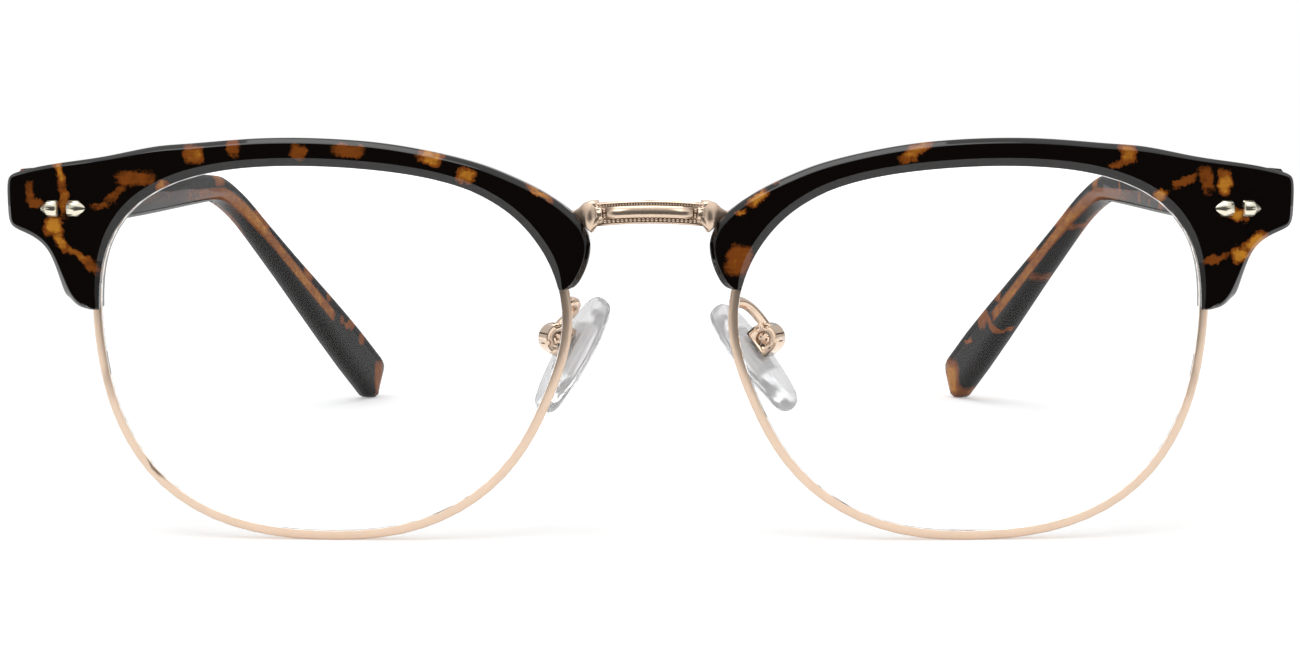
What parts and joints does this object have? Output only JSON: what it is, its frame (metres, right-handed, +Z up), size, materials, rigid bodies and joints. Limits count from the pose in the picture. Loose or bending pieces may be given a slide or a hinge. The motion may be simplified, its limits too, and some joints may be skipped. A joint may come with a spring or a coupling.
{
  "type": "eyeglasses",
  "caption": "Browline glasses with tortoise plastic brows and temples, gold metal rims, a beaded metal bridge, clear nose pads and folding temples on riveted hinges",
  "frame": {"origin": "Middle of the bottom of the bounding box, with the rims and the temple tips resting on Z = 0.", "axes": "+X towards the wearer's left, +Y back from the front to the temple tips, +Z up."},
  "size_m": [0.1414, 0.1575, 0.0438],
  "materials": {
    "tortoise": "polished",
    "gold": "polished",
    "pale_gold": "polished",
    "clear_lens": "clear",
    "silicone": "clear",
    "pad_insert": "clear",
    "core_wire": "brushed"
  },
  "bodies": {
    "front": {"left_brow": "tortoise", "right_brow": "tortoise", "left_eyewire": "gold", "right_eyewire": "gold", "left_lens": "clear_lens", "right_lens": "clear_lens", "left_rim_screw": "gold", "right_rim_screw": "gold", "bridge": "gold", "left_brow_screw": "gold", "right_brow_screw": "gold", "left_pad_arm": "gold", "right_pad_arm": "gold", "left_pad_screw": "gold", "right_pad_screw": "gold", "left_front_rivets": "pale_gold", "right_front_rivets": "pale_gold", "left_front_hinge": "gold", "right_front_hinge": "gold", "left_hinge_screw": "gold", "right_hinge_screw": "gold"},
    "left_temple_arm": {"left_temple_hinge": "gold", "left_temple_pins": "gold", "left_temple": "tortoise", "left_temple_core": "core_wire"},
    "right_temple_arm": {"right_temple_hinge": "gold", "right_temple_pins": "gold", "right_temple": "tortoise", "right_temple_core": "core_wire"},
    "left_pad": {"left_nose_pad": "silicone", "left_pad_core": "pad_insert"},
    "right_pad": {"right_nose_pad": "silicone", "right_pad_core": "pad_insert"}
  },
  "joints": [
    {"name": "left_temple_fold", "type": "hinge", "parent": "front", "child": "left_temple_arm", "pos_m": [0.0673, -0.06748, 0.03712], "axis": [0, 0, 1], "range_deg": [0, 84]},
    {"name": "right_temple_fold", "type": "hinge", "parent": "front", "child": "right_temple_arm", "pos_m": [-0.0673, -0.06748, 0.03712], "axis": [0, 0, -1], "range_deg": [0, 68]},
    {"name": "left_pad_rock", "type": "hinge", "parent": "front", "child": "left_pad", "pos_m": [0.0128, -0.07095, 0.02172], "axis": [0.4226, 0.9063, 0], "range_deg": [-6, 6]},
    {"name": "right_pad_rock", "type": "hinge", "parent": "front", "child": "right_pad", "pos_m": [-0.0104, -0.07095, 0.02172], "axis": [-0.4226, 0.9063, 0], "range_deg": [-6, 6]}
  ]
}
